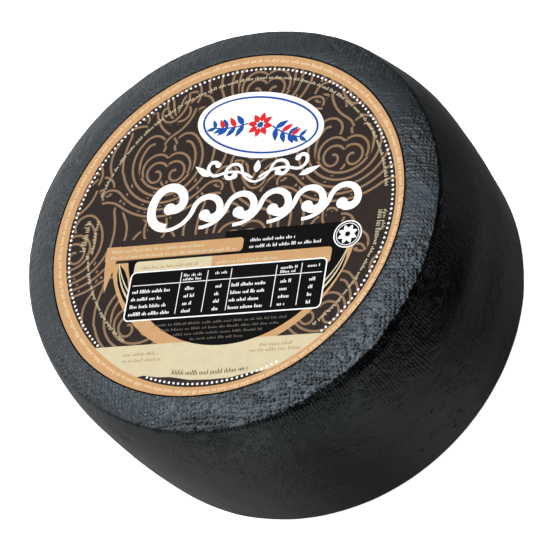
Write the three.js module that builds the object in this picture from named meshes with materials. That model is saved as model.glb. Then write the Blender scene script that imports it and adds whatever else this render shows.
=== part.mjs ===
// A whole wheel of hard grating cheese in a black waxed rind, with a round paper label stuck on its
// top face. Millimetres, +Z up. The origin is the centre of the flat face that the wheel rests on,
// and +X and +Y run to the right and up across the label as it is read.
import * as THREE from "three";
import { mergeVertices } from "three/addons/utils/BufferGeometryUtils.js";

// ---- driving dimensions ----

const WHEEL_HEIGHT = 113.75; // from the resting face to the flat of the top face

// the top face: a flat under the label, then a shoulder that falls to the edge
const FLAT_RADIUS = 101;
const EDGE_RADIUS = 117.5; // the crisp edge where the shoulder meets the side
const EDGE_DROP = 4.25; // how far that edge lies below the flat
const SHOULDER_POWER = 1.6; // over 1, so that the shoulder leaves the flat without a corner
const EDGE_ROUND = 2.4; // how far each way the edge is rubbed round

// the barrel side, from the edge down to the foot
const FOOT_RADIUS = 122.5; // where the side ends and the foot's rounding starts
const FOOT_ROUND = 9; // radius of that rounding, down to the resting face
const UPPER_BELLY = 12; // the side's upper pull outwards, past the edge radius
const LOWER_BELLY = 2; // its lower pull outwards, past the foot radius

// the wheel is a little oval and three-sided, and leans a little
const OVAL = 0.014; // share of the radius
const OVAL_ANGLE = 132; // degrees from +X to the long way across
const THREE_SIDED = 0.0042;
const THREE_SIDED_ANGLE = 54;
const LEAN = 3.2; // how far the foot's centre is from under the top's centre
const LEAN_ANGLE = 71; // degrees from +X to where the foot is carried

// places where the side was pressed in (push below 0) or swells: the angle in degrees from +X, the
// height of the middle, the reach round the girth and up the side, and the push outwards
const PRESSES = [
  { angle: 317, height: 112, round: 17, up: 14, push: 1.6 },
  { angle: 272, height: 112, round: 26, up: 12, push: -0.6 },
  { angle: 352, height: 112, round: 24, up: 12, push: -0.6 },
  { angle: 351, height: 56, round: 30, up: 13, push: -1.7 },
  { angle: 354, height: 80, round: 34, up: 9, push: 0.7 },
  { angle: 292, height: 42, round: 30, up: 22, push: 0.6 },
  { angle: 234, height: 66, round: 32, up: 20, push: -0.7 },
  { angle: 186, height: 48, round: 38, up: 24, push: 0.8 },
  { angle: 140, height: 70, round: 30, up: 18, push: -1.1 },
  { angle: 96, height: 40, round: 36, up: 20, push: -0.8 },
  { angle: 50, height: 74, round: 34, up: 16, push: 0.7 },
];

// the label: a paper disc on the flat, level with its middle
const LABEL_RADIUS = 100;
const LABEL_THICKNESS = 0.25;

// how finely the curved faces are cut into flat ones
const GIRTH_STEPS = 96;
const SHOULDER_STEPS = 4;
const EDGE_STEPS = 4;
const SIDE_STEPS = 16;
const FOOT_STEPS = 5;

// ---- shapes ----

const radians = THREE.MathUtils.degToRad;

// The side's radius at a height, as a Bezier curve whose four heights are evenly spaced, so that the
// share of the way down the side is the curve's own parameter.
const EDGE_HEIGHT = WHEEL_HEIGHT - EDGE_DROP;
const side = new THREE.CubicBezierCurve(
  new THREE.Vector2(EDGE_RADIUS, EDGE_HEIGHT),
  new THREE.Vector2(EDGE_RADIUS + UPPER_BELLY, EDGE_HEIGHT + (FOOT_ROUND - EDGE_HEIGHT) / 3),
  new THREE.Vector2(FOOT_RADIUS + LOWER_BELLY, FOOT_ROUND + (EDGE_HEIGHT - FOOT_ROUND) / 3),
  new THREE.Vector2(FOOT_RADIUS, FOOT_ROUND),
);

// A point of the shoulder at a share of the way from the flat's rim to the edge.
function shoulderPoint(share) {
  return new THREE.Vector2(
    THREE.MathUtils.lerp(FLAT_RADIUS, EDGE_RADIUS, share),
    WHEEL_HEIGHT - EDGE_DROP * share ** SHOULDER_POWER,
  );
}

// Half of the wheel's upright section, from the middle of the resting face round to the middle of
// the top face, as points of radius and height.
function halfSection() {
  const outline = [new THREE.Vector2(0, 0)];

  for (let step = 0; step <= FOOT_STEPS; step++) {
    const turn = ((step / FOOT_STEPS) * Math.PI) / 2;
    outline.push(
      new THREE.Vector2(
        FOOT_RADIUS - FOOT_ROUND * (1 - Math.sin(turn)),
        FOOT_ROUND * (1 - Math.cos(turn)),
      ),
    );
  }

  const roundShare = EDGE_ROUND / (EDGE_HEIGHT - FOOT_ROUND);
  for (let step = SIDE_STEPS - 1; step >= 0; step--) {
    const share = THREE.MathUtils.lerp(roundShare, 1, step / SIDE_STEPS);
    outline.push(side.getPoint(share));
  }

  const shoulderEnd = 1 - EDGE_ROUND / (EDGE_RADIUS - FLAT_RADIUS);
  const edge = new THREE.QuadraticBezierCurve(
    side.getPoint(roundShare),
    side.getPoint(0),
    shoulderPoint(shoulderEnd),
  );
  outline.push(...edge.getPoints(EDGE_STEPS).slice(1));

  for (let step = SHOULDER_STEPS - 1; step >= 0; step--) {
    outline.push(shoulderPoint((shoulderEnd * step) / SHOULDER_STEPS));
  }

  outline.push(new THREE.Vector2(0, WHEEL_HEIGHT));
  return outline;
}

// How far the side stands out of its even form, at an angle in radians and a height.
function pressedOut(angle, height) {
  let push = 0;
  for (const press of PRESSES) {
    const away = Math.atan2(
      Math.sin(angle - radians(press.angle)),
      Math.cos(angle - radians(press.angle)),
    );
    const round = (away * EDGE_RADIUS) / press.round;
    const up = (height - press.height) / press.up;
    push += press.push * Math.exp(-(round * round + up * up));
  }
  return push;
}

// Turns the section round into a true wheel, then gives it its ovalness, presses and lean.
function rindGeometry() {
  let geometry = new THREE.LatheGeometry(halfSection(), GIRTH_STEPS);
  geometry.rotateX(Math.PI / 2);
  geometry.deleteAttribute("normal");
  geometry.deleteAttribute("uv");
  geometry = mergeVertices(geometry);

  const leanX = LEAN * Math.cos(radians(LEAN_ANGLE));
  const leanY = LEAN * Math.sin(radians(LEAN_ANGLE));
  const position = geometry.getAttribute("position");
  for (let i = 0; i < position.count; i++) {
    const x = position.getX(i);
    const y = position.getY(i);
    const height = position.getZ(i);
    const radius = Math.hypot(x, y);
    const angle = Math.atan2(y, x);
    const oval =
      1 +
      OVAL * Math.cos(2 * (angle - radians(OVAL_ANGLE))) +
      THREE_SIDED * Math.cos(3 * (angle - radians(THREE_SIDED_ANGLE)));
    const outwards = THREE.MathUtils.smoothstep(radius, FLAT_RADIUS, EDGE_RADIUS);
    const uneven = radius * oval + outwards * pressedOut(angle, height);
    const carried = height / WHEEL_HEIGHT;
    position.setXY(
      i,
      uneven * Math.cos(angle) - leanX * carried,
      uneven * Math.sin(angle) - leanY * carried,
    );
  }
  return withoutCollapsedFaces(geometry);
}

// Leaves out the faces that have shrunk to a line at the two poles of a turned shape.
function withoutCollapsedFaces(geometry) {
  const corners = geometry.getIndex().array;
  const kept = [];
  for (let i = 0; i < corners.length; i += 3) {
    const [a, b, c] = corners.slice(i, i + 3);
    if (a !== b && b !== c && c !== a) kept.push(a, b, c);
  }
  geometry.setIndex(kept);
  geometry.computeVertexNormals();
  return geometry;
}

// ---- materials ----

const blackRind = new THREE.MeshStandardMaterial({
  name: "black_rind",
  color: new THREE.Color(0.035, 0.037, 0.04),
  roughness: 0.5,
  metalness: 0,
});

const labelPaper = new THREE.MeshStandardMaterial({
  name: "label_paper",
  color: new THREE.Color(0.3, 0.23, 0.15),
  roughness: 0.6,
  metalness: 0,
});

// ---- the wheel and its label ----

const wheel = new THREE.Group();

const rind = new THREE.Mesh(rindGeometry(), blackRind);
rind.name = "cheese_wheel";
wheel.add(rind);

const label = new THREE.Mesh(
  new THREE.CylinderGeometry(LABEL_RADIUS, LABEL_RADIUS, LABEL_THICKNESS, GIRTH_STEPS),
  labelPaper,
);
label.name = "paper_label";
label.geometry.rotateX(Math.PI / 2);
label.position.set(
  -LEAN * Math.cos(radians(LEAN_ANGLE)),
  -LEAN * Math.sin(radians(LEAN_ANGLE)),
  WHEEL_HEIGHT + LABEL_THICKNESS / 2,
);
wheel.add(label);

export default wheel;
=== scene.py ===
# A whole wheel of hard grating cheese in a black waxed rind, with a printed paper label on its top.
import bpy
import cmath
import math
import numpy as np
import random
from mathutils import Matrix, Vector, noise
from mathutils.geometry import delaunay_2d_cdt


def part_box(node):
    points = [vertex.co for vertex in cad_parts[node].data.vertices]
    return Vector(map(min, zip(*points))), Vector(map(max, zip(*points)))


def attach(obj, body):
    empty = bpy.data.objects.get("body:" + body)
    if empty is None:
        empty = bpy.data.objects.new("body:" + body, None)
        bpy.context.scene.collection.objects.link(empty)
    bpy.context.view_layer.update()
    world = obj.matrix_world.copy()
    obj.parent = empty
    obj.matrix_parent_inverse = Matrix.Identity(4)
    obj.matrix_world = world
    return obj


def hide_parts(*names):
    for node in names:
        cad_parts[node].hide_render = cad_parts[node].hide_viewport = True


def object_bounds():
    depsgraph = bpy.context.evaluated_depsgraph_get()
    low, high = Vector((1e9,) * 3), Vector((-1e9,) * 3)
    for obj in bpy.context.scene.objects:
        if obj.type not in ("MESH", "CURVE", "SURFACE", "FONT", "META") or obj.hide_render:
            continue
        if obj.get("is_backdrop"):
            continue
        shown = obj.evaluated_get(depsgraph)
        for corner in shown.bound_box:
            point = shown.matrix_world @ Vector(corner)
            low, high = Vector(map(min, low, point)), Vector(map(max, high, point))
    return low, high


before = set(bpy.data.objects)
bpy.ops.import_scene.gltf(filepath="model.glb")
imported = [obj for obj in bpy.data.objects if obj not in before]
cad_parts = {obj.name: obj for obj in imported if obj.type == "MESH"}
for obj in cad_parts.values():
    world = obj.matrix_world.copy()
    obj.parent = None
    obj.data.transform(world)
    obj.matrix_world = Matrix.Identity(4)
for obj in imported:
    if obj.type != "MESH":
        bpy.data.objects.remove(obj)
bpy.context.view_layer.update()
scene = bpy.context.scene


# ==== The waxed wheel ====
# Cheese pressed in a cloth-lined hoop, so its rind keeps the cloth's weave, folds and air pits all
# over. The aged wheel is dipped in black wax, which sets satin and too thin to hide the threads.

MM = 0.001

FLAT_RADIUS = 0.101  # the top's flat, which the label lies on
EDGE_RADIUS = 0.1175  # the crisp edge where the shoulder meets the side
EDGE_DROP = 0.00425  # how far that edge lies below the flat
SHOULDER_POWER = 1.6  # over 1, so that the shoulder leaves the flat without a corner
FOOT_RADIUS = 0.1225  # where the side ends and the foot's rounding starts
FOOT_ROUND = 0.009
UPPER_BELLY = 0.012  # the side's pulls outwards, past the edge and past the foot
LOWER_BELLY = 0.002
OVAL = 0.014  # shares of the radius
OVAL_ANGLE = math.radians(132)
THREE_SIDED = 0.0042
THREE_SIDED_ANGLE = math.radians(54)
LEAN = 0.0032  # how far the foot's centre is from under the top's centre
LEAN_ANGLE = math.radians(71)
RESTING_RADIUS = FOOT_RADIUS - FOOT_ROUND

WHEEL_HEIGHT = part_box("cheese_wheel")[1].z
EDGE_HEIGHT = WHEEL_HEIGHT - EDGE_DROP

# presses and swells of the side: degrees from +X, then millimetres of height, reach round the
# girth, reach up the side, and push outwards
PRESSES = [
    (317, 112, 17, 14, 1.6),
    (272, 112, 26, 12, -0.6),
    (352, 112, 24, 12, -0.6),
    (351, 56, 30, 13, -1.7),
    (354, 80, 34, 9, 0.7),
    (292, 42, 30, 22, 0.6),
    (234, 66, 32, 20, -0.7),
    (186, 48, 38, 24, 0.8),
    (140, 70, 30, 18, -1.1),
    (96, 40, 36, 20, -0.8),
    (50, 74, 34, 16, 0.7),
]

# how finely each part of the section is cut, from the resting face up to the middle of the top
GIRTH_STEPS = 720
REST_STEPS = 8
FOOT_STEPS = 8
SIDE_STEPS = 54
LIP_STEPS = 20
LIP_SPACING = 0.00035  # the side's rows lie this close together just below the edge
LIP_ROUND = 0.0011  # how far each way the edge is rubbed round
EDGE_STEPS = 7
SHOULDER_STEPS = 26
FLAT_STEPS = 3


def smooth_rise(value, low, high):
    """0 below low, 1 above high, and a smooth S between."""
    share = np.clip((value - low) / (high - low), 0, 1)
    return share * share * (3 - 2 * share)


def side_point(share):
    """Radius and height of the barrel side, from the edge at share 0 to the foot at share 1."""
    weights = ((1 - share) ** 3, 3 * share * (1 - share) ** 2, 3 * share**2 * (1 - share), share**3)
    pulls = (EDGE_RADIUS, EDGE_RADIUS + UPPER_BELLY, FOOT_RADIUS + LOWER_BELLY, FOOT_RADIUS)
    radius = sum(weight * pull for weight, pull in zip(weights, pulls))
    return radius, EDGE_HEIGHT + (FOOT_ROUND - EDGE_HEIGHT) * share


def shoulder_point(share):
    """Radius and height of the shoulder, from the flat's rim at share 0 to the edge at share 1."""
    radius = FLAT_RADIUS + (EDGE_RADIUS - FLAT_RADIUS) * share
    return radius, WHEEL_HEIGHT - EDGE_DROP * share**SHOULDER_POWER


def half_section():
    """Rows of radius and height from the middle of the resting face to the middle of the top."""
    rows = [(RESTING_RADIUS * step / REST_STEPS, 0.0) for step in range(1, REST_STEPS)]
    for step in range(FOOT_STEPS + 1):
        turn = step / FOOT_STEPS * math.pi / 2
        radius = FOOT_RADIUS - FOOT_ROUND * (1 - math.sin(turn))
        rows.append((radius, FOOT_ROUND * (1 - math.cos(turn))))
    drop = EDGE_HEIGHT - FOOT_ROUND
    round_share = LIP_ROUND / drop
    lip_share = round_share + LIP_STEPS * LIP_SPACING / drop
    for step in range(SIDE_STEPS - 1, 0, -1):
        rows.append(side_point(lip_share + (1 - lip_share) * step / SIDE_STEPS))
    for step in range(LIP_STEPS, -1, -1):
        rows.append(side_point(round_share + step * LIP_SPACING / drop))
    shoulder_end = 1 - LIP_ROUND / (EDGE_RADIUS - FLAT_RADIUS)
    start, corner, end = side_point(round_share), side_point(0), shoulder_point(shoulder_end)
    for step in range(1, EDGE_STEPS + 1):
        t = step / EDGE_STEPS
        rows.append(
            tuple(
                (1 - t) ** 2 * a + 2 * t * (1 - t) * b + t**2 * c
                for a, b, c in zip(start, corner, end)
            )
        )
    for step in range(SHOULDER_STEPS - 1, -1, -1):
        rows.append(shoulder_point(shoulder_end * step / SHOULDER_STEPS))
    for step in range(FLAT_STEPS, 0, -1):
        rows.append((FLAT_RADIUS * step / (FLAT_STEPS + 1), WHEEL_HEIGHT))
    return np.array(rows)


def pressed_out(angle, height):
    """How far the side stands out of its even form at these angles and heights."""
    push = np.zeros_like(angle)
    for degrees, middle, around, up, out in PRESSES:
        away = angle - math.radians(degrees)
        away = np.arctan2(np.sin(away), np.cos(away)) * EDGE_RADIUS / (around * MM)
        rise = (height - middle * MM) / (up * MM)
        push += out * MM * np.exp(-(away**2 + rise**2))
    return push


# the skin's own relief, each as size across and height of its lumps, in metres
SWELLS = (0.034, 0.00042)
LUMPS = (0.012, 0.00020)
GRAINS = (0.0045, 0.00007)

# short creases where the cloth was folded under, on the shoulder and down the side: degrees from
# +X, distance from the edge towards the label (minus is down the side), length round the wheel,
# slant and depth, in millimetres
CREASES = [
    (154.7, 10.5, 10, -8, 0.80),
    (150.0, 14.0, 7, -4, 0.25),
    (146.5, 9.5, 8, 3, 0.25),
    (287.6, 11.6, 11, -6, 0.90),
    (299.0, 9.5, 7, -5, 0.60),
    (281.0, 8.0, 7, 2, 0.20),
    (128.0, 8.0, 7, 3, 0.30),
    (205.0, 9.0, 10, 2, 0.35),
    (64.0, 7.0, 9, -3, 0.35),
    (20.0, 10.0, 8, 3, 0.35),
    (245.0, -16.0, 9, 4, 0.40),
    (262.0, -24.0, 7, -3, 0.40),
    (281.0, -13.0, 8, 3, 0.35),
    (326.0, -46.0, 11, 6, 0.20),
    (340.0, -34.0, 14, 18, 0.20),
    (110.0, -30.0, 12, 6, 0.45),
    (80.0, -52.0, 10, -6, 0.40),
    (196.0, -20.0, 12, 7, 0.45),
    (160.0, -66.0, 12, -5, 0.40),
]
CREASE_WIDTH = 0.0009


def crease_depth(angle, reach):
    """Depth of the creases at these angles and distances in from the edge."""
    depth = np.zeros_like(angle)
    for degrees, place, length, slant, deep in CREASES:
        away = angle - math.radians(degrees)
        along = np.arctan2(np.sin(away), np.cos(away)) * EDGE_RADIUS
        half = length / 2 * MM
        across = reach - place * MM - slant * MM * np.sin(along / half) / 2
        ends = np.exp(-((along / half) ** 4))
        depth += deep * MM * ends * np.exp(-((across / CREASE_WIDTH) ** 2))
    return depth


# the edge is struck off flat, most of all where the hoop's end bit: how far the bevel reaches over
# the shoulder and down the side in metres, and how much of each the wide stretch adds
BEVEL_IN, BEVEL_MORE_IN = 0.0009, 0.0009
BEVEL_DOWN, BEVEL_MORE_DOWN = 0.0009, 0.0031
BEVEL_WIDEST = math.radians(316)
BEVEL_SPREAD = math.radians(22)
RAGGED = 0.0004  # how much further its inner line strays on the wide stretch
RAGGED_SIZE = 0.0035
RAGGED_LEAST = 0.5  # how far it strays all round, as a share of that
RAGGED_DOWN = 2  # how many times as far its lower line strays


def strike_off(place, angle, reach):
    """Lays the points near the edge on the bevel's straight line, column by column."""
    for column, turn in enumerate(angle):
        away = math.remainder(turn - BEVEL_WIDEST, 2 * math.pi) / BEVEL_SPREAD
        more = math.exp(-away * away)
        around = Vector((math.cos(turn), math.sin(turn), 0)) * EDGE_RADIUS
        jag = RAGGED * noise.noise(around / RAGGED_SIZE) * (RAGGED_LEAST + more)
        inner = BEVEL_IN + BEVEL_MORE_IN * more + jag
        lower = -BEVEL_DOWN - BEVEL_MORE_DOWN * more + RAGGED_DOWN * jag
        ends = [
            [np.interp(spot, reach, place[:, column, axis]) for axis in range(3)]
            for spot in (lower, inner)
        ]
        struck = (reach > lower) & (reach < inner)
        share = ((reach[struck] - lower) / (inner - lower))[:, None]
        place[struck, column] = np.array(ends[0]) * (1 - share) + np.array(ends[1]) * share


# the label's flat is left smooth: where the relief starts and is full, past the flat's radius
RELIEF_START, RELIEF_FULL = -0.0002, 0.004

# the resting face is hollowed a little inside the rim that it stands on
HOLLOW_HEIGHT = 0.0006
HOLLOW_RADIUS = 0.075  # out to here in full, and then less and less up to the rim
HOLLOW_RIM = 0.004
HOLLOW_WAVES = 3  # how often it rises and falls round the face, twisted by this much a metre
HOLLOW_TWIST = 90


def wraps(mesh, column_of):
    """True for the corners of the faces that close the ring."""
    starts = np.array([face.loop_start for face in mesh.polygons])
    totals = np.array([face.loop_total for face in mesh.polygons])
    highest = np.maximum.reduceat(column_of, starts)
    return np.repeat(highest == GIRTH_STEPS - 1, totals)


def make_wheel():
    rows = half_section()
    steps = np.diff(rows, axis=0, prepend=rows[:1])
    reach = np.cumsum(np.hypot(steps[:, 0], steps[:, 1]))
    edge_row = np.argmin(np.hypot(rows[:, 0] - EDGE_RADIUS, rows[:, 1] - EDGE_HEIGHT))
    reach -= reach[edge_row]

    turn = np.arange(GIRTH_STEPS) * 2 * math.pi / GIRTH_STEPS
    angle, radius = np.meshgrid(turn, rows[:, 0])
    _, height = np.meshgrid(turn, rows[:, 1])
    _, inwards = np.meshgrid(turn, reach)
    oval = 1 + OVAL * np.cos(2 * (angle - OVAL_ANGLE))
    oval += THREE_SIDED * np.cos(3 * (angle - THREE_SIDED_ANGLE))
    outwards = smooth_rise(radius, FLAT_RADIUS, EDGE_RADIUS)
    out = radius * oval + outwards * pressed_out(angle, height)
    carried = height / WHEEL_HEIGHT * LEAN
    place = np.stack(
        [
            out * np.cos(angle) - carried * math.cos(LEAN_ANGLE),
            out * np.sin(angle) - carried * math.sin(LEAN_ANGLE),
            height,
        ],
        axis=-1,
    )

    strike_off(place, turn, reach)

    # relief along the surface's normal, fading out under the label and on the resting face
    around = np.roll(place, -1, axis=1) - np.roll(place, 1, axis=1)
    normal = np.cross(around, np.gradient(place, axis=0))
    normal /= np.linalg.norm(normal, axis=-1, keepdims=True)
    relief = np.zeros_like(angle)
    for size, tall in (SWELLS, LUMPS, GRAINS):
        relief += tall * np.array(
            [noise.noise(Vector(point) / size) for point in place.reshape(-1, 3)]
        ).reshape(angle.shape)
    relief -= crease_depth(angle, inwards)
    on_top = height > EDGE_HEIGHT
    free = np.where(
        on_top,
        smooth_rise(radius, FLAT_RADIUS + RELIEF_START, FLAT_RADIUS + RELIEF_FULL),
        smooth_rise(height, 0, FOOT_ROUND),
    )
    place += normal * (relief * free)[..., None]

    inside = 1 - smooth_rise(radius, HOLLOW_RADIUS, RESTING_RADIUS - HOLLOW_RIM)
    wave = (1 + np.cos(HOLLOW_WAVES * angle + HOLLOW_TWIST * radius)) / 2
    place[..., 2] += HOLLOW_HEIGHT * (height == 0) * inside * wave

    low_pole = len(rows) * GIRTH_STEPS
    top_middle = place[-1].mean(axis=0)
    poles = [(0, 0, place[0, :, 2].mean()), (top_middle[0], top_middle[1], WHEEL_HEIGHT)]
    corners = np.concatenate([place.reshape(-1, 3), poles])
    faces = []
    for row in range(len(rows) - 1):
        here = row * GIRTH_STEPS
        for column in range(GIRTH_STEPS):
            beside = (column + 1) % GIRTH_STEPS
            above = here + GIRTH_STEPS
            faces.append((here + column, here + beside, above + beside, above + column))
    last = (len(rows) - 1) * GIRTH_STEPS
    for column in range(GIRTH_STEPS):
        beside = (column + 1) % GIRTH_STEPS
        faces.append((low_pole, beside, column))
        faces.append((low_pole + 1, last + column, last + beside))

    mesh = bpy.data.meshes.new("waxed_wheel")
    mesh.from_pydata(corners.tolist(), [], faces)
    mesh.shade_smooth()

    # the cloth's own map, in metres: round the girth, then up the side and over the shoulder
    cloth = mesh.uv_layers.new(name="cloth")
    loop_corner = np.empty(len(mesh.loops), int)
    mesh.loops.foreach_get("vertex_index", loop_corner)
    row_of = np.minimum(loop_corner // GIRTH_STEPS, len(rows) - 1)
    column_of = (loop_corner % GIRTH_STEPS).astype(float)
    is_pole = loop_corner >= low_pole
    column_of = np.where(is_pole, 0, column_of)
    closes = (column_of == 0) & ~is_pole & wraps(mesh, column_of)
    column_of += GIRTH_STEPS * closes
    girth = 2 * math.pi * EDGE_RADIUS
    layout = np.stack([column_of / GIRTH_STEPS * girth, reach[row_of]], axis=-1)
    cloth.data.foreach_set("uv", layout.ravel())
    return mesh


class Wire:
    """An output socket of a material's nodes, with arithmetic that adds Math nodes."""

    def __init__(self, tree, socket=None):
        self.tree = tree
        self.socket = socket

    def add(self, kind, settings, sockets, output=0):
        """Adds any node: its settings first, then its sockets' values or links."""
        node = self.tree.nodes.new(kind)
        for name, setting in settings.items():
            setattr(node, name, setting)
        for name, value in sockets.items():
            if isinstance(value, Wire):
                self.tree.links.new(value.socket, node.inputs[name])
            else:
                node.inputs[name].default_value = value
        return Wire(self.tree, node.outputs[output])

    def maths(self, operation, *values):
        return self.add("ShaderNodeMath", {"operation": operation}, dict(enumerate(values)))

    def __add__(self, other):
        return self.maths("ADD", self, other)

    __radd__ = __add__

    def __sub__(self, other):
        return self.maths("SUBTRACT", self, other)

    def __rsub__(self, other):
        return self.maths("SUBTRACT", other, self)

    def __mul__(self, other):
        return self.maths("MULTIPLY", self, other)

    __rmul__ = __mul__

    def sine(self):
        return self.maths("SINE", self)

    def rise(self, low, high):
        """0 below low, 1 above high, and a smooth S between."""
        return self.add(
            "ShaderNodeMapRange",
            {"interpolation_type": "SMOOTHSTEP"},
            {"Value": self, "From Min": low, "From Max": high},
        )

    def blend(self, colour_at_0, colour_at_1):
        """A colour mixed between two by this value."""
        return self.add(
            "ShaderNodeMix",
            {"data_type": "RGBA"},
            {0: self, 6: (*colour_at_0, 1), 7: (*colour_at_1, 1)},
            output=2,
        )


def new_finish(name):
    """A material, a bare wire into its nodes, and its surface shader."""
    material = bpy.data.materials.new(name)
    material.use_nodes = True
    tree = material.node_tree
    surface = tree.nodes["Principled BSDF"]
    return material, Wire(tree), surface


SIDE_PITCH = 0.0017  # the threads of the hoop's cloth, standing up the side
SIDE_WARP = 0.8  # the share of its relief that the standing threads have
SIDE_STRAY = 0.0016  # how far its threads stray from their straight lines
TOP_PITCH = 0.0022  # the coarser cloth on both flat faces, its threads straight across the face
TOP_WARP = 0.5
TOP_STRAY = 0.0030
CLOTH_WANDER = 0.006  # how far whole stretches of both cloths are pulled askew
EDGE_TURN = (-0.0006, 0.0008)  # where the side's cloth gives way to the top's, up from the edge
FOOT_TURN = (-0.114, -0.109)  # where the lower face's cloth gives way to the side's
CROSSING_SHARE = 0.5  # how high the threads' crossings stand, as a share of the threads
THREAD_HEIGHT = 0.00018
GRAIN_HEIGHT = 0.00019
FINE_GRAIN = 0.4  # its finer half, as a share of the coarser
GRAIN_LEAST = 0.3  # the shares of grain and lumps that are there all over, the rest with the bite
LUMP_HEIGHT = 0.0006
LUMP_LEAST = 0.25
FLECK_DEPTH = 0.0004
FLECKS_ROUND, FLECKS_UP = 170, 620  # how many to a metre, round the girth and up the side
PIT_DEPTH = 0.0005
PIT_FLOOR = 0.3  # the share of a pit's size that is its floor
WIDE_PITS = (95, 0.13, 0.34)  # cells to a metre, size in shares of a cell, and share of the cells
SMALL_PITS = (190, 0.17, 0.22)
WAX_BLACK = (0.0005, 0.0005, 0.0006)
# the wax's pale colour, for its random mottle and for the thread crests, whose paler colour is
# painted shade between the threads
WAX_PALE_MOTTLE_AND_LIT_CRESTS = (0.0022, 0.0023, 0.0025)
WAX_SHEEN = (0.75, 0.89, 1.0)
WAX_ROUGHNESS = 0.25
CREST_GLOSS = 0.06  # what the crests take off the roughness, and clouds and pits add to it
CLOUD_DULLNESS = 0.10
PIT_DULLNESS = 0.3
WAX_IOR = 1.5

# where the cloth bit deep: degrees from +X, height and reach in millimetres, and how deep, where 1
# is the full height of a thread, on top of the least that there is all over
SIDE_BITE = 0.05
FLAT_BITE = 0.15  # more than on the side
BITES = [
    (320, 100, 42, 0.9),
    (298, 113, 44, 0.8),
    (340, 112, 38, 0.7),
    (15, 113, 40, 0.5),
    (55, 113, 30, 0.45),
    (268, 113, 60, 0.9),
    (225, 113, 50, 0.5),
    (175, 113, 60, 0.35),
    (120, 113, 50, 0.3),
    (285, 60, 40, 0.25),
    (350, 50, 46, 0.3),
    (235, 80, 30, 0.2),
    (110, 60, 60, 0.35),
    (180, 70, 55, 0.3),
]

# it bit in patches of two sizes: how many to a metre and their detail, the noise's values from and
# to which they fill in, and how deep they are
WIDE_PATCHES = (70, 2, 0.3, 0.6, 0.6)
SMALL_PATCHES = (260, 1, 0.35, 0.65, 0.7)


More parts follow.
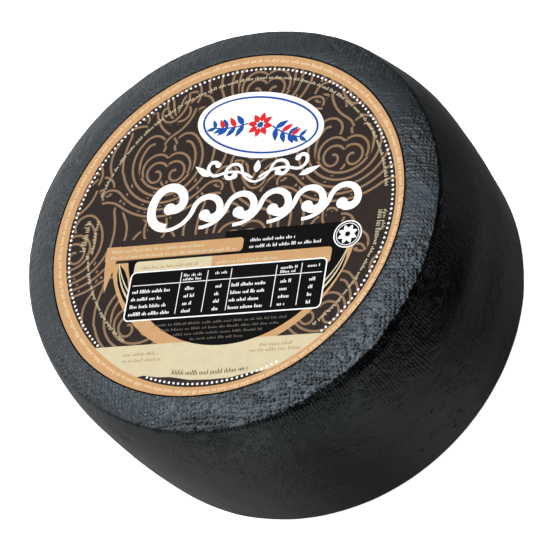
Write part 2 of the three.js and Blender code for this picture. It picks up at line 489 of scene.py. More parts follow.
def black_wax():
    material, wire, surface = new_finish("black_wax")
    place = wire.add("ShaderNodeTexCoord", {}, {}, output=3)
    cloth = wire.add("ShaderNodeUVMap", {"uv_map": "cloth"}, {})

    def part(vector, axis):
        return wire.add("ShaderNodeSeparateXYZ", {}, {"Vector": vector}, output=axis)

    def cloud(scale, detail=2.0):
        """Soft noise with about so many blobs to a metre."""
        return wire.add(
            "ShaderNodeTexNoise", {}, {"Vector": place, "Scale": scale, "Detail": detail}
        )

    def threads(across, along, pitch, warp_share, astray):
        """A cloth's relief: its two sets of threads, and the crossings that stand highest."""
        warp = ((across + wander + stray * astray) * (2 * math.pi / pitch)).sine()
        weft = ((along + wander - stray * astray) * (2 * math.pi / pitch)).sine()
        return warp_share * warp + (1 - warp_share) * weft + CROSSING_SHARE * warp * weft

    wander = cloud(30) * CLOTH_WANDER
    stray = cloud(340, 2)
    round_girth, up_side = part(cloth, 0), part(cloth, 1)
    side_cloth = threads(round_girth, up_side, SIDE_PITCH, SIDE_WARP, SIDE_STRAY)
    top_cloth = threads(part(place, 0), part(place, 1), TOP_PITCH, TOP_WARP, TOP_STRAY)
    on_flat = up_side.rise(*EDGE_TURN) + 1 - up_side.rise(*FOOT_TURN)
    weave = on_flat * top_cloth + (1 - on_flat) * side_cloth

    bite = SIDE_BITE + FLAT_BITE * on_flat
    for degrees, height, reach, depth in BITES:
        turn = math.radians(degrees)
        middle = (EDGE_RADIUS * math.cos(turn), EDGE_RADIUS * math.sin(turn), height * MM)
        away = wire.add(
            "ShaderNodeVectorMath", {"operation": "DISTANCE"}, {0: place, 1: middle}, output=1
        )
        bite = bite + (1 - away.rise(0.0, reach * MM)) * depth
    wide, small = (
        cloud(scale, detail).rise(low, high) * depth
        for scale, detail, low, high, depth in (WIDE_PATCHES, SMALL_PATCHES)
    )
    bite = bite * (wide + small)
    grain = (cloud(900, 2) + FINE_GRAIN * cloud(2400, 2)) * (GRAIN_LEAST + bite)
    lumps = cloud(380, 3) * (bite + LUMP_LEAST)

    def pits(scale, size, share):
        """Round pits in a share of the cells of a noise, each of a size in shares of a cell."""
        cell = {"Vector": place, "Scale": scale, "Randomness": 1.0}
        near = wire.add("ShaderNodeTexVoronoi", {}, cell)
        lot = part(wire.add("ShaderNodeTexVoronoi", {}, cell, output=1), 0)
        return lot.rise(1 - share, 1.001 - share) * (1 - near.rise(size * PIT_FLOOR, size))

    pit = pits(*WIDE_PITS) + pits(*SMALL_PITS)

    # short marks of the folded cloth, lying round the side
    drawn_out = wire.add(
        "ShaderNodeCombineXYZ", {}, {0: round_girth * FLECKS_ROUND, 1: up_side * FLECKS_UP}
    )
    mark = wire.add("ShaderNodeTexNoise", {}, {"Vector": drawn_out, "Scale": 1.0, "Detail": 2.0})
    fleck = mark.rise(0.56, 0.70) * cloud(45, 2).rise(0.48, 0.62) * (1 - on_flat)

    height = weave * bite * THREAD_HEIGHT + grain * GRAIN_HEIGHT + lumps * LUMP_HEIGHT
    height = height - pit * PIT_DEPTH - fleck * FLECK_DEPTH
    bump = wire.add("ShaderNodeBump", {}, {"Height": height, "Distance": 1.0, "Strength": 1.0})

    # the threads' crests are painted paler and the hollows between them darker, a painted shade
    # between the threads; the crests are also smoother, and the pits stay dull
    ridge = (weave * bite).rise(-0.25, 0.6)
    # half random mottle in the wax, half painted shade that darkens the hollows between the threads
    mottle_and_thread_shade = cloud(60, 4).rise(0.35, 0.75) * 0.5 + ridge * 0.5
    colour = mottle_and_thread_shade.blend(WAX_BLACK, WAX_PALE_MOTTLE_AND_LIT_CRESTS)
    roughness = WAX_ROUGHNESS - CREST_GLOSS * ridge
    roughness = roughness + CLOUD_DULLNESS * cloud(55, 3) + PIT_DULLNESS * pit

    tree = material.node_tree
    tree.links.new(colour.socket, surface.inputs["Base Color"])
    tree.links.new(roughness.socket, surface.inputs["Roughness"])
    tree.links.new(bump.socket, surface.inputs["Normal"])
    surface.inputs["IOR"].default_value = WAX_IOR
    surface.inputs["Specular Tint"].default_value = (*WAX_SHEEN, 1)
    return material


wheel = bpy.data.objects.new("waxed_wheel", make_wheel())
scene.collection.objects.link(wheel)
wheel.data.materials.append(black_wax())
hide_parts("cheese_wheel")
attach(wheel, "root")


# ==== The paper label ====
# A round label of coated paper, glued to the top's flat and printed in flat inks: a tan rim, a dark
# field of line scrollwork, a badge, white ornaments and panels of small print. The print sits a
# little off the middle of the cut circle and is turned a little.

label_low, label_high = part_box("paper_label")
LABEL_CENTRE = (label_low + label_high) / 2
LABEL_RADIUS = (label_high.x - label_low.x) / 2

# places on the print are complex numbers, right and up, in shares of the label's radius, and
# directions are in degrees
PRINT_OFF = 0.011 - 0.0077j
PRINT_SPIN = cmath.rect(1, math.radians(-1.7))
CUT_STEPS = 240
EDGE_LINE_AND_SHADOW = 0.0095  # the fine black line round the rim, partly print and partly a painted shadow of the paper's cut edge

# the paper isn't cut quite round: how far it stands out of a true circle, by degrees from +X
CUT_OFF = [
    (0, -0.006), (45, 0.004), (75, 0.002), (90, 0.0), (120, -0.006),
    (150, -0.006), (180, 0.002), (195, 0.006), (208, 0.010), (225, 0.017),
    (240, 0.010), (270, -0.007), (300, -0.003), (345, -0.007),
]


def cut_edge(inside=0.0):
    """The cut edge of the paper, or a line at a distance inside it, as places on the print."""
    turns = np.arange(CUT_STEPS) * 360 / CUT_STEPS
    radius = 1 - inside + np.interp(turns, *np.transpose(CUT_OFF), period=360)
    return (radius * np.exp(1j * np.radians(turns)) - PRINT_OFF) / PRINT_SPIN


# the fields of ink in the order they are printed, each over the ones before, as (points, ink)
fields = [(cut_edge(), "black")]
chance = random.Random(7)
PAPER_REACH = 1.04  # past the furthest that the cut edge stands out


def lay(points, ink):
    """Prints a field, unless it would run off the paper."""
    if max(abs(point) for point in points) < PAPER_REACH:
        fields.append((points, ink))


STEP_TURN = 14  # the most degrees that a line turns from point to point,
STEP_SWEEP = 1.4  # and the most that its radius times those degrees comes to


def sweep(start, heading, *bends):
    """A line of arcs that run into each other, each a radius and a turn, left turns above 0."""
    points = [start]
    for radius, turn in bends:
        steps = max(
            1, math.ceil(abs(turn) / STEP_TURN), math.ceil(radius * abs(turn) / STEP_SWEEP)
        )
        bend = math.radians(turn) / steps
        stride = 2 * radius * math.sin(abs(bend) / 2)
        for _ in range(steps):
            points.append(points[-1] + cmath.rect(stride, math.radians(heading) + bend / 2))
            heading += turn / steps
    return points


def arc(middle, radius, start, end):
    """A stretch of a circle between two directions, clockwise if the end is the lower one."""
    turn = end - start
    first = middle + cmath.rect(radius, math.radians(start))
    return sweep(first, start + math.copysign(90, turn), (radius, turn))


def oval(middle, wide, high=None, tilt=0, steps=24):
    spin = cmath.rect(1, math.radians(tilt))
    rounds = [2 * math.pi * step / steps for step in range(steps)]
    high = wide if high is None else high
    return [middle + spin * complex(wide * math.cos(a), high * math.sin(a)) for a in rounds]


def panel(left, right, low, high, corner=0.0):
    """A rectangle with round corners."""
    points = []
    for x, y, start in (
        (right - corner, low + corner, -90),
        (right - corner, high - corner, 0),
        (left + corner, high - corner, 90),
        (left + corner, low + corner, 180),
    ):
        if corner:
            points += arc(complex(x, y), corner, start, start + 90)
        else:
            points.append(complex(x, y))
    return points


# half of a leaf's outline: shares of its length, and of half its width
LEAF_OUTLINE = ((0.2, 0.75), (0.4, 1.0), (0.6, 0.85), (0.8, 0.5))


def leaf(base, heading, length, width):
    along = cmath.rect(length, math.radians(heading))
    across = cmath.rect(width / 2, math.radians(heading + 90))
    right = [base + along * share - across * bulge for share, bulge in LEAF_OUTLINE]
    left = [base + along * share + across * bulge for share, bulge in reversed(LEAF_OUTLINE)]
    return [base, *right, base + along, *left]


def mirrored(points, axis=0.0):
    """The points flipped right to left about an upright axis, still listed the same way round."""
    return [complex(2 * axis - point.real, point.imag) for point in reversed(points)]


def lay_line(points, width, ink, start_width=1.0, end_width=1.0):
    """A pen's line, whose width may change from one end to the other."""
    last = len(points) - 1
    sides = []
    for i, point in enumerate(points):
        along = points[min(i + 1, last)] - points[max(i - 1, 0)]
        swell = start_width + (end_width - start_width) * i / last
        side = along / abs(along) * 1j * width / 2 * swell
        sides.append((point + side, point - side))
    for (left, right), (next_left, next_right) in zip(sides, sides[1:]):
        lay([left, right, next_right, next_left], ink)


def lay_ring(near, far, ink):
    """A closed band between two lines of as many points."""
    for i in range(len(near)):
        lay([near[i - 1], far[i - 1], far[i], near[i]], ink)


MARK_PITCH = 0.0088
MARK_SHARES = (0.6, 0.62, 1.0)  # of the print's full height
MARK_GROUP = (3, 8)


def lay_print(path, height, ink, thick=0.5):
    """Small upright marks in groups along a line, as fine print looks from afar."""
    run = 0.0
    group = chance.randint(*MARK_GROUP)
    for here, there in zip(path, path[1:]):
        length = abs(there - here)
        along = (there - here) / length
        while run < length:
            if group:
                foot = here + along * run
                wide = along * MARK_PITCH * thick
                tall = along * height * chance.choice(MARK_SHARES) * 1j
                lay([foot, foot + wide, foot + wide + tall, foot + tall], ink)
                group -= 1
            else:
                group = chance.randint(*MARK_GROUP)
            run += MARK_PITCH
        run -= length


# ---- the field's scrollwork ----

LINE_WIDTH = 0.0135
HALO = 2.6  # each line clears the ones under it by this many times its width
MOTIF_SIZE = 1.36
MOTIF_ACROSS = 1.02  # from motif to motif, in rows that are set off by half of it
MOTIF_UP = 0.45
FIRST_MOTIF = 0.09 - 0.05j
RIM_INNER = 0.932  # where the tan rim covers the field
UNDERLAP = 0.02  # how far the field runs on under the rim

# the right half of one motif, each line as its start, heading and bends, and the ball at its end
HALF_MOTIF = [
    (-0.150j, 0, [(0.150, 136), (0.050, 190), (0.022, 60)], 0.012),  # volutes
    (-0.120j, 0, [(0.120, 128), (0.030, 60)], 0),
    (-0.020j, 58, [(0.042, -58), (0.045, -150), (0.026, -170), (0.012, -60)], 0.008),  # heart
    (0.018j, 48, [(0.055, -70), (0.066, -95)], 0),
    (-0.180j, 0, [(0.190, 62), (0.300, 12)], 0),  # bowl
    (-0.210j, 0, [(0.235, 50), (0.060, -60), (0.028, -150)], 0.011),
    (-0.240j, 0, [(0.285, 38), (0.100, -50)], 0),
    (0.190 - 0.035j, 78, [(0.300, 30), (0.050, -70), (0.110, 60)], 0),  # side leaves
    (0.235 - 0.040j, 62, [(0.140, 60), (0.100, -40), (0.050, 10)], 0),
    (0.016 + 0.165j, 84, [(0.170, -42), (0.052, -150), (0.026, -120)], 0.012),  # palmette
    (0.050 + 0.160j, 74, [(0.120, -40), (0.032, -110)], 0),
    (0.205j, 66, [(0.260, 14), (0.050, -100), (0.016, -60)], 0.010),
    (0.310j, 0, [(0.045, 120), (0.030, 120)], 0),
    (0.085 + 0.255j, 60, [(0.080, 70), (0.050, 60)], 0),
    (0.330 + 0.020j, 100, [(0.120, -60), (0.040, -150), (0.020, -60)], 0.011),  # between motifs
    (0.330 - 0.030j, -100, [(0.120, 60), (0.040, 150), (0.020, 60)], 0.011),
    (0.280 + 0.100j, 80, [(0.160, -50), (0.080, 40)], 0),
    (0.290 - 0.100j, -80, [(0.160, 50), (0.080, -40)], 0),
]


def lay_motif(middle):
    for start, heading, bends, ball in HALF_MOTIF:
        line = [middle + MOTIF_SIZE * point for point in sweep(start, heading, *bends)]
        end = line[-1]
        if min(abs(point) for point in line) > RIM_INNER:
            continue
        for half in (line, mirrored(line, middle.real)):
            lay_line(half, LINE_WIDTH * HALO, "field")
            lay_line(half, LINE_WIDTH, "scroll")
        if ball:
            lay(oval(end, ball, steps=12), "scroll")
            lay(mirrored(oval(end, ball, steps=12), middle.real), "scroll")


lay(oval(0, RIM_INNER + UNDERLAP, steps=180), "field")
for row in range(-1, 3):
    for column in range(-1, 2):
        shift = column + (0.5 if row % 2 else 0.0)
        lay_motif(FIRST_MOTIF + MOTIF_ACROSS * shift + 1j * MOTIF_UP * row)

# ---- fine print round the field ----

FINE_MIDDLE = 0.034 + 0.018j
FINE_RADIUS = 0.835
FINE_HEIGHT = 0.018
FINE_STRETCHES = [(166, 8), (-12, -50), (232, 190)]
BLOCK_THICK = 0.4

# upright lines of print: how far right, from and to how far up, and the height of the marks
SIDE_BLOCKS = [
    (-0.815, -0.10, 0.08, 0.035),
    (-0.765, -0.12, 0.085, 0.020),
    (0.845, 0.00, -0.15, 0.035),
    (0.875, 0.00, -0.11, 0.020),
]
for start, end in FINE_STRETCHES:
    lay_print(arc(FINE_MIDDLE, FINE_RADIUS, start, end), FINE_HEIGHT, "cream")
for x, start, end, height in SIDE_BLOCKS:
    lay_print([complex(x, start), complex(x, end)], height, "cream", thick=BLOCK_THICK)

# ---- the dark shield, its tan cheeks and the leaves at its shoulders ----

CHEEK_MIDDLE = 0.05 - 0.06j
CHEEK_RADIUS = 0.70
SHIELD_MIDDLE = 0.08 - 0.07j
SHIELD_RADIUS = 0.634
STRIP = (-0.65, 0.75, -0.19, -0.055)  # panels are left, right, low and high
STRIP_RIGHT = (0.0, 0.66, -0.19, -0.05)
LEAF_LENGTH, LEAF_WIDTH = 0.28, 0.06
BLADES = ((-14, 0.40), (-4, 0.52))  # the turn from the leaf, and the bend's radius
BLADE_BEND = 38
BLADE_WIDTH = 0.014
lay(arc(CHEEK_MIDDLE, CHEEK_RADIUS, 180, 360), "tan")
lay(panel(*STRIP), "field")
lay(panel(*STRIP_RIGHT), "black")
lay(arc(SHIELD_MIDDLE, SHIELD_RADIUS, 190, 350), "black")
for base, heading, lean in ((-0.595 - 0.19j, -70, 1), (0.705 - 0.20j, -111, -1)):
    lay(leaf(base, heading, LEAF_LENGTH, LEAF_WIDTH), "black")
    for turn, radius in BLADES:
        blade = sweep(base, heading + turn * lean, (radius, BLADE_BEND * lean))
        lay_line(blade, BLADE_WIDTH, "cream", 0.3, 0.9)

# ---- the cream foot ----

FOOT_TOP = -0.674
FOOT_REACH = 0.94
FOOT_WAVE = [
    -0.33 - 0.850j, -0.25 - 0.864j, -0.17 - 0.868j, -0.06 - 0.890j, 0.05 - 0.894j,
    0.16 - 0.890j, 0.26 - 0.870j, 0.34 - 0.864j, 0.42 - 0.842j,
]
WAVE_START, WAVE_END = 246, 300  # where the foot's round edge gives way to the wave
FOOT_LINES = [
    (-0.47, -0.27, -0.735),
    (-0.47, -0.25, -0.770),
    (0.30, 0.48, -0.725),
    (0.25, 0.53, -0.755),
]
FOOT_PRINT_HEIGHT = 0.020
FOOT_ARC = (0.04 + 1.0j, 1.865, 263.5, 276.5)
FOOT_ARC_HEIGHT, FOOT_ARC_THICK = 0.028, 0.45
foot_turn = math.degrees(math.asin(-FOOT_TOP / FOOT_REACH))
lay(
    [
        *arc(0, FOOT_REACH, 180 + foot_turn, WAVE_START),
        *FOOT_WAVE,
        *arc(0, FOOT_REACH, WAVE_END, 360 - foot_turn),
    ],
    "cream",
)
lay(arc(SHIELD_MIDDLE, SHIELD_RADIUS, 220, 320), "black")
for left, right, y in FOOT_LINES:
    lay_print([complex(left, y), complex(right, y)], FOOT_PRINT_HEIGHT, "ochre")
lay_print(arc(*FOOT_ARC), FOOT_ARC_HEIGHT, "black", thick=FOOT_ARC_THICK)

# ---- the dotted ring and the tan rim ----

DOTS = 210
DOT_RING = 0.915
DOT_RADIUS = 0.0068
RIM_PRINT = 0.955
RIM_PRINT_HEIGHT = 0.022
for i in range(DOTS):
    place = cmath.rect(DOT_RING, 2 * math.pi * i / DOTS)
    if place.imag > FOOT_TOP or FOOT_WAVE[0].real < place.real < FOOT_WAVE[-1].real:
        lay(oval(place, DOT_RADIUS, steps=8), "white")
lay_ring(oval(0, RIM_INNER, steps=CUT_STEPS), cut_edge(EDGE_LINE_AND_SHADOW), "tan")
# the black band along the cut edge is partly a painted shadow of the paper's edge on the wax
lay_ring(cut_edge(EDGE_LINE_AND_SHADOW), cut_edge(), "black")
lay_print(arc(-PRINT_OFF / 2, RIM_PRINT, 360, 0), RIM_PRINT_HEIGHT, "pale tan")

# ---- the banner and the small print beside it ----

BANNER_LEFT, BANNER_RIGHT, BANNER_LOW, BANNER_HIGH = -0.685, 0.112, -0.172, -0.092
BANNER_CORNER = 0.022
BANNER_SQUARE = -0.60  # its left end is square as far as here, where the tail hangs from it
BANNER_TAIL = [
    -0.685 - 0.09j, -0.675 - 0.24j, -0.655 - 0.36j, -0.617 - 0.18j, -0.60 - 0.09j,
]
BANNER_LINES = [
    (-0.65, -0.12, -0.127, "cream"),
    (-0.65, 0.08, -0.162, "cream"),
    (0.15, 0.40, -0.122, "white"),
    (0.15, 0.56, -0.160, "white"),
]
BANNER_PRINT_HEIGHT = 0.019
lay(BANNER_TAIL, "tan")
lay(panel(BANNER_LEFT, BANNER_RIGHT, BANNER_LOW, BANNER_HIGH, BANNER_CORNER), "tan")
lay(panel(BANNER_LEFT, BANNER_SQUARE, BANNER_LOW, BANNER_HIGH), "tan")
for left, right, y, ink in BANNER_LINES:
    lay_print([complex(left, y), complex(right, y)], BANNER_PRINT_HEIGHT, ink)

# ---- the table with its two tabs ----

TABLE_LEFT, TABLE_RIGHT, TABLE_LOW, TABLE_HIGH = -0.505, 0.599, -0.528, -0.255
TABLE_FRAME = 0.007
FRAME_CORNER, TABLE_CORNER = 0.032, 0.025
TABLE_RULE = 0.004
RULE_GAP, RULE_FOOT_GAP = 0.015, 0.02  # from the rules' ends to the table's edge
UPRIGHTS = (-0.217, -0.065, 0.070, 0.325, 0.465)
HEAD_RULE = -0.331
HEAD_LINE, HEAD_UP, HEAD_HEIGHT = -0.296, 0.023, 0.016  # first line, line to line, and marks
HEADS = [(-0.20, 0.10, 2), (-0.02, 0.07, 1), (0.35, 0.09, 2), (0.50, 0.07, 1)]
ROWS = 4
ROW_LINE, ROW_UP, ROW_HEIGHT, ROW_THICK = -0.375, 0.043, 0.020, 0.55
ROW_SHORTEST = 0.75  # of its column's width
COLUMNS = [
    (-0.485, 0.24),
    (-0.18, 0.06),
    (-0.005, 0.035),
    (0.085, 0.20),
    (0.36, 0.055),
    (0.52, 0.03),
]
TABS_LEFT, TABS_RIGHT, TABS_LOW, TABS_HIGH = -0.50, 0.62, -0.28, -0.188
TABS_CORNER = 0.02
TAB_SPLIT, TAB_SQUARE = -0.054, -0.10  # the left tab's right end, and where that starts square
TAB_LINE, TAB_PRINT_HEIGHT = -0.235, 0.018
TAB_PRINTS = [(-0.46, -0.12, "ochre"), (-0.02, 0.32, "cream")]
NOTE_MIDDLE, NOTE_LINE, NOTE_UP, NOTE_HEIGHT = 0.05, -0.575, 0.030, 0.014
NOTE_HALVES = (0.37, 0.33, 0.25, 0.15)

lay(panel(TABS_LEFT, TABS_RIGHT, TABS_LOW, TABS_HIGH, TABS_CORNER), "tan")
lay(panel(TABS_LEFT, TAB_SPLIT, TABS_LOW, TABS_HIGH, TABS_CORNER), "cream")
lay(panel(TAB_SQUARE, TAB_SPLIT, TABS_LOW, TABS_HIGH), "cream")
for left, right, ink in TAB_PRINTS:
    lay_print([complex(left, TAB_LINE), complex(right, TAB_LINE)], TAB_PRINT_HEIGHT, ink)
lay(
    panel(
        TABLE_LEFT - TABLE_FRAME,
        TABLE_RIGHT + TABLE_FRAME,
        TABLE_LOW - TABLE_FRAME,
        TABLE_HIGH + TABLE_FRAME,
        FRAME_CORNER,
    ),
    "white",
)
lay(panel(TABLE_LEFT, TABLE_RIGHT, TABLE_LOW, TABLE_HIGH, TABLE_CORNER), "black")
for x in UPRIGHTS:
    lay(panel(x, x + TABLE_RULE, TABLE_LOW + RULE_FOOT_GAP, TABLE_HIGH - RULE_GAP), "white")
left, right = TABLE_LEFT + RULE_GAP, TABLE_RIGHT - RULE_GAP
lay(panel(left, right, HEAD_RULE, HEAD_RULE + TABLE_RULE), "white")
for x, length, lines in HEADS:
    for line in range(lines):
        y = HEAD_LINE - HEAD_UP * line
        lay_print([complex(x, y), complex(x + length, y)], HEAD_HEIGHT, "white")
for row in range(ROWS):
    y = ROW_LINE - ROW_UP * row
    for x, length in COLUMNS:
        end = x + length * chance.uniform(ROW_SHORTEST, 1)
        lay_print([complex(x, y), complex(end, y)], ROW_HEIGHT, "white", thick=ROW_THICK)
for row, half in enumerate(NOTE_HALVES):
    y = NOTE_LINE - NOTE_UP * row
    left, right = NOTE_MIDDLE - half, NOTE_MIDDLE + half
    lay_print([complex(left, y), complex(right, y)], NOTE_HEIGHT, "grey")

# ---- the round star beside the table ----

STAR_MIDDLE = 0.694 - 0.1245j
STAR_RADIUS = 0.078
STAR_INNER = 0.071
STAR_RING = (0.060, 0.064)
STAR_POINTS = 8
POINT_START, POINT_LENGTH, POINT_WIDTH = 0.012, 0.044, 0.026
lay(oval(STAR_MIDDLE, STAR_RADIUS, steps=36), "white")
lay(oval(STAR_MIDDLE, STAR_INNER, steps=36), "black")
lay_ring(*[oval(STAR_MIDDLE, radius) for radius in STAR_RING], "white")
for i in range(STAR_POINTS):
    heading = 360 / STAR_POINTS * (i + 0.5)
    base = STAR_MIDDLE + cmath.rect(POINT_START, math.radians(heading))
    lay(leaf(base, heading, POINT_LENGTH, POINT_WIDTH), "white")

# ---- the badge: a flower between two sprays ----

BADGE_MIDDLE = 0.093 + 0.572j
BADGE_TILT = -11.5
BADGE_OVALS = [(0.378, 0.196, "white"), (0.348, 0.170, "blue"), (0.335, 0.158, "white")]
STEM_WIDTH = 0.009
STEM_HEADING, STEM_TURN = -20, 40  # how its leaves follow its bend
LEAF_PAIRS = 5
FIRST_PAIR = 0.6  # how far along the stem it sits, where 1 is from pair to pair
LEAF_SIZE, LEAF_SHRINK = 0.085, 0.030  # at the flower, and how much smaller at the tip
LEAF_SPREAD, LEAF_FOLD = 58, 20
LEAF_SLIMNESS = 0.42
PETALS = 8
PETAL_START, PETAL_LENGTH, PETAL_WIDTH = 0.018, 0.058, 0.034
badge_spin = cmath.rect(1, math.radians(BADGE_TILT))
for wide, high, ink in BADGE_OVALS:
    lay(oval(BADGE_MIDDLE, wide, high, BADGE_TILT, 72), ink)
stem = sweep(0.075 + 0j, -28, (0.40, 30))
for half in (list, mirrored):
    lay_line([BADGE_MIDDLE + badge_spin * point for point in half(stem)], STEM_WIDTH, "blue")
    for pair in range(LEAF_PAIRS):
        share = (pair + FIRST_PAIR) / LEAF_PAIRS
        base = stem[round(share * (len(stem) - 1))]
        for side in (1, -1):
            size = LEAF_SIZE - LEAF_SHRINK * share
            spread = LEAF_SPREAD - LEAF_FOLD * share
            heading = side * spread + STEM_HEADING + STEM_TURN * share
            outline = half(leaf(base, heading, size, size * LEAF_SLIMNESS))
            ink = "red" if pair % 2 and side == 1 else "blue"
            lay([BADGE_MIDDLE + badge_spin * point for point in outline], ink)
for i in range(PETALS):
    heading = 360 / PETALS * i
    base = cmath.rect(PETAL_START, math.radians(heading))
    petal = leaf(base, heading, PETAL_LENGTH, PETAL_WIDTH)
    lay([BADGE_MIDDLE + badge_spin * point for point in petal], "red")
lay(oval(BADGE_MIDDLE, PETAL_START, steps=12), "blue")

# ---- white ornaments: a small scroll pair with three darts, and a running scroll ----

PAIR_MIDDLE = 0.117 + 0.285j
PAIR_WIDTH = 0.026
PAIR_LINES = [
    (-0.055j, 8, [(0.10, 70), (0.048, -180), (0.030, -130)], 0.018),
    (0.02 - 0.03j, 40, [(0.20, -60), (0.05, 120), (0.028, 150)], 0.017),
]
DARTS = [
    (PAIR_MIDDLE, 90, 0.075, 0.04),
    (-0.155 + 0.285j, 143, 0.115, 0.036),
    (0.365 + 0.245j, 22, 0.125, 0.036),
]
for start, heading, bends, ball in PAIR_LINES:
    line = [PAIR_MIDDLE + point for point in sweep(start, heading, *bends)]
    lay_line(line, PAIR_WIDTH, "white", 0.5, 0.9)
    lay_line(mirrored(line, PAIR_MIDDLE.real), PAIR_WIDTH, "white", 0.9, 0.5)
    lay(oval(line[-1], ball, steps=14), "white")
    lay(mirrored(oval(line[-1], ball, steps=14), PAIR_MIDDLE.real), "white")
for base, heading, length, width in DARTS:
    lay(leaf(base, heading, length, width), "white")

CURLS = 5
CURL_PITCH = 0.195
CURL_WIDTH = 0.050
FIRST_CURL = -0.36 - 0.015j
HEAD_BALL, CURL_BALL = 0.034, 0.032
head = sweep(FIRST_CURL + 0.015j, 180, (0.10, -80), (0.17, -40), (0.085, -150), (0.05, -120))
lay_line(head, CURL_WIDTH, "white")
lay(oval(head[-1], HEAD_BALL, steps=16), "white")
for i in range(CURLS):
    curl = sweep(FIRST_CURL + CURL_PITCH * i, 0, (0.15, 78), (0.078, -175), (0.046, -140))
    lay_line(curl, CURL_WIDTH, "white", 0.4, 1.0)
    lay(oval(curl[-1], CURL_BALL, steps=16), "white")


# inks as they reflect red, green and blue light
INKS = {
    "black": (0.002, 0.002, 0.0023),
    "field": (0.024, 0.018, 0.016),
    "scroll": (0.225, 0.140, 0.082),
    "tan": (0.478, 0.278, 0.131),
    "pale tan": (0.70, 0.52, 0.33),
    "cream": (0.54, 0.47, 0.31),
    "white": (0.85, 0.85, 0.85),
    "ochre": (0.34, 0.225, 0.105),
    "grey": (0.13, 0.11, 0.09),
    "red": (0.57, 0.018, 0.025),
    "blue": (0.01, 0.065, 0.30),
    "paper": (0.80, 0.78, 0.74),
}


def cut_print():
    """Cuts the fields of ink out of each other: spots, triangles and the ink of each triangle."""
    corners, outlines = [], []
    for points, _ in fields:
        outlines.append(list(range(len(corners), len(corners) + len(points))))
        for point in points:
            spot = PRINT_OFF + PRINT_SPIN * complex(point)
            corners.append(Vector((spot.real, spot.imag)))
    inside_only = 1
    near_enough = 1e-5
    spots, _, triangles, _, _, printed = delaunay_2d_cdt(
        corners, [], outlines, inside_only, near_enough, True
    )
    names = list(INKS)
    faces, inks = [], []
    for triangle, layers in zip(triangles, printed):
        if 0 in layers:
            faces.append(tuple(triangle))
            inks.append(names.index(fields[max(layers)][1]))
    return spots, faces, inks


def rim_of(faces):
    """The corners round the outside of these faces, in order."""
    edges = {}
    for face in faces:
        for here, there in zip(face, face[1:] + face[:1]):
            edges[here, there] = True
    onwards = {here: there for here, there in edges if (there, here) not in edges}
    rim = [next(iter(onwards))]
    while onwards[rim[-1]] != rim[0]:
        rim.append(onwards[rim[-1]])
    return rim


# the flat map of the sheet: its printed face fills the square, with its back and its cut edge small
# in two corners
FACE_SHARE = 0.485
BACK_MIDDLE, BACK_SHARE = (0.06, 0.06), 0.05
EDGE_MIDDLE, EDGE_SHARES = (0.94, 0.06), (0.035, 0.05)


def face_map(spot):
    return [0.5 + FACE_SHARE * along for along in spot]


def make_label():
    spots, faces, inks = cut_print()
    rim = rim_of(faces)
    back_of = {corner: len(spots) + i for i, corner in enumerate(rim)}
    places = [
        (LABEL_CENTRE.x + LABEL_RADIUS * x, LABEL_CENTRE.y + LABEL_RADIUS * y, label_high.z)
        for x, y in spots
    ]
    places += [(places[corner][0], places[corner][1], label_low.z) for corner in rim]
    edge = [
        (there, here, back_of[here], back_of[there]) for here, there in zip(rim, rim[1:] + rim[:1])
    ]
    back = tuple(back_of[corner] for corner in reversed(rim))
    paper_ink = list(INKS).index("paper")

    mesh = bpy.data.meshes.new("printed_label")
    mesh.from_pydata(places, [], faces + edge + [back])
    mesh.polygons.foreach_set("material_index", inks + [paper_ink] * (len(edge) + 1))
    layout = mesh.uv_layers.new(name="OFBake")
    flat = [spot for face in faces for corner in face for spot in face_map(spots[corner])]
    for here, there in zip(rim, rim[1:] + rim[:1]):
        for corner, share in ((there, 1), (here, 1), (here, 0), (there, 0)):
            flat += [
                middle + EDGE_SHARES[share] * along
                for middle, along in zip(EDGE_MIDDLE, spots[corner])
            ]
    for corner in reversed(rim):
        flat += [middle + BACK_SHARE * along for middle, along in zip(BACK_MIDDLE, spots[corner])]
    layout.data.foreach_set("uv", flat)
    return mesh


FIBRE_HEIGHT = 0.000004
COCKLE_HEIGHT = 0.00005
INK_MOTTLE = 0.03
INK_ROUGHNESS = 0.48
INK_UNEVENNESS = 0.12  # what the mottle adds to it
INK_SHEEN = 0.03


def printed_paper(ink):
    material, wire, surface = new_finish("ink_" + ink.replace(" ", "_"))
    place = wire.add("ShaderNodeTexCoord", {}, {}, output=3)

    def cloud(scale, detail):
        return wire.add(
            "ShaderNodeTexNoise", {}, {"Vector": place, "Scale": scale, "Detail": detail}
        )

    fibres = cloud(1800, 3)
    mottle = cloud(240, 4)
    cockle = cloud(38, 1)
    light = [value * (1 - INK_MOTTLE) for value in INKS[ink]]
    full = [min(1.0, value * (1 + INK_MOTTLE)) for value in INKS[ink]]
    colour = mottle.rise(0.3, 0.7).blend(light, full)
    roughness = INK_ROUGHNESS + INK_UNEVENNESS * mottle
    height = fibres * FIBRE_HEIGHT + cockle * COCKLE_HEIGHT
    bump = wire.add("ShaderNodeBump", {}, {"Height": height, "Distance": 1.0, "Strength": 1.0})
    material.node_tree.links.new(colour.socket, surface.inputs["Base Color"])
    material.node_tree.links.new(roughness.socket, surface.inputs["Roughness"])
    material.node_tree.links.new(bump.socket, surface.inputs["Normal"])
    surface.inputs["Specular IOR Level"].default_value = INK_SHEEN
    return material


label = bpy.data.objects.new("printed_label", make_label())
scene.collection.objects.link(label)
for ink in INKS:
    label.data.materials.append(printed_paper(ink))
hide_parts("paper_label")
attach(label, "root")


# ==== The studio ====
# A plain pale floor, soft light all round and a long lens that looks down on the wheel, turned so
# that the label's print runs level.

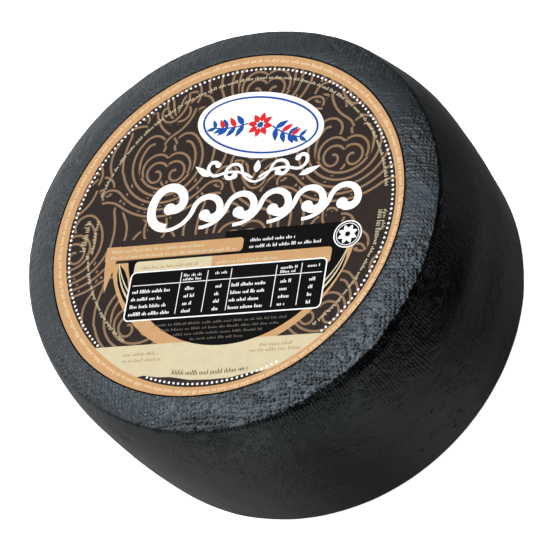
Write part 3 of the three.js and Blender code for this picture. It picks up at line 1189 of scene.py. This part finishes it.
CAMERA_AZIMUTH = math.radians(42.6)
CAMERA_ELEVATION = math.radians(51.787)
CAMERA_ROLL = math.radians(-41.892)
CAMERA_DISTANCE = 1.53636
CAMERA_RIGHT = 0.02611
CAMERA_UP = -0.02824
LENS = 194.95
SENSOR = 36.0

back = Vector(
    (
        math.sin(CAMERA_AZIMUTH) * math.cos(CAMERA_ELEVATION),
        -math.cos(CAMERA_AZIMUTH) * math.cos(CAMERA_ELEVATION),
        math.sin(CAMERA_ELEVATION),
    )
)
level = Vector((math.cos(CAMERA_AZIMUTH), math.sin(CAMERA_AZIMUTH), 0))
right = Matrix.Rotation(CAMERA_ROLL, 3, back) @ level
up = back.cross(right)
camera = bpy.data.objects.new("camera", bpy.data.cameras.new("camera"))
scene.collection.objects.link(camera)
camera.data.lens = LENS
camera.data.sensor_width = SENSOR
camera.matrix_world = Matrix((right, up, back)).transposed().to_4x4()
camera.location = (
    Vector((LABEL_CENTRE.x, LABEL_CENTRE.y, WHEEL_HEIGHT))
    + CAMERA_RIGHT * right
    + CAMERA_UP * up
    + CAMERA_DISTANCE * back
)
scene.camera = camera

FLOOR_HALF = 6.0
FLOOR_HEIGHT = -0.0001  # a hair below the resting face, so that the two don't lie in one plane
FLOOR_CORNERS = ((-1, -1), (1, -1), (1, 1), (-1, 1))
floor_mesh = bpy.data.meshes.new("floor")
floor_mesh.from_pydata(
    [(x * FLOOR_HALF, y * FLOOR_HALF, FLOOR_HEIGHT) for x, y in FLOOR_CORNERS],
    [],
    [(0, 1, 2, 3)],
)
floor = bpy.data.objects.new("floor", floor_mesh)
scene.collection.objects.link(floor)
pale, _, pale_surface = new_finish("pale_floor")
pale_surface.inputs["Base Color"].default_value = (0.9, 0.9, 0.9, 1)
pale_surface.inputs["Roughness"].default_value = 1.0
pale_surface.inputs["Emission Color"].default_value = (1, 1, 1, 1)
pale_surface.inputs["Emission Strength"].default_value = 1.0
floor_mesh.materials.append(pale)
floor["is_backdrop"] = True
floor.visible_glossy = False
floor.visible_diffuse = False
floor.visible_shadow = False

world = bpy.data.worlds.new("studio")
scene.world = world
world.use_nodes = True

# soft lights round the wheel: azimuth from +X and elevation in degrees, sharpness, and brightness
# in red, green and blue
SOFT_LIGHTS = [
    (153, 17, 3, (1.72, 1.74, 1.76)),
    (84, 74, 18, (3.50, 3.50, 3.50)),
    (168, 77, 22, (3.00, 3.00, 3.00)),
    (162, 75, 80, (8.50, 8.50, 8.50)),
    (215, 60, 22, (3.50, 3.50, 3.50)),
    (299, -28, 22, (0.92, 0.89, 0.81)),
    (251, -20, 22, (1.40, 1.36, 1.26)),
    (226, -43, 12, (0.30, 0.29, 0.27)),
    (312, -43, 19, (0.31, 0.30, 0.28)),
    (340, -67, 22, (0.34, 0.31, 0.29)),
    (48, -54, 40, (0.15, 0.14, 0.14)),
    (39, -21, 22, (0.28, 0.24, 0.24)),
]


def light_the_world():
    wire = Wire(world.node_tree)
    direction = wire.add("ShaderNodeTexCoord", {}, {})
    total = None
    for azimuth, elevation, sharpness, colour in SOFT_LIGHTS:
        turn, lift = math.radians(azimuth), math.radians(elevation)
        towards = (
            math.cos(turn) * math.cos(lift),
            math.sin(turn) * math.cos(lift),
            math.sin(lift),
        )
        facing = wire.add(
            "ShaderNodeVectorMath",
            {"operation": "DOT_PRODUCT"},
            {0: direction, 1: towards},
            output=1,
        )
        glow = wire.maths("EXPONENT", (facing - 1) * sharpness)
        lit = wire.add(
            "ShaderNodeVectorMath", {"operation": "SCALE"}, {0: colour, "Scale": glow}
        )
        if total is None:
            total = lit
        else:
            total = wire.add("ShaderNodeVectorMath", {"operation": "ADD"}, {0: total, 1: lit})
    background = world.node_tree.nodes["Background"]
    world.node_tree.links.new(total.socket, background.inputs["Color"])


light_the_world()
scene.view_settings.view_transform = "Standard"


low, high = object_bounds()
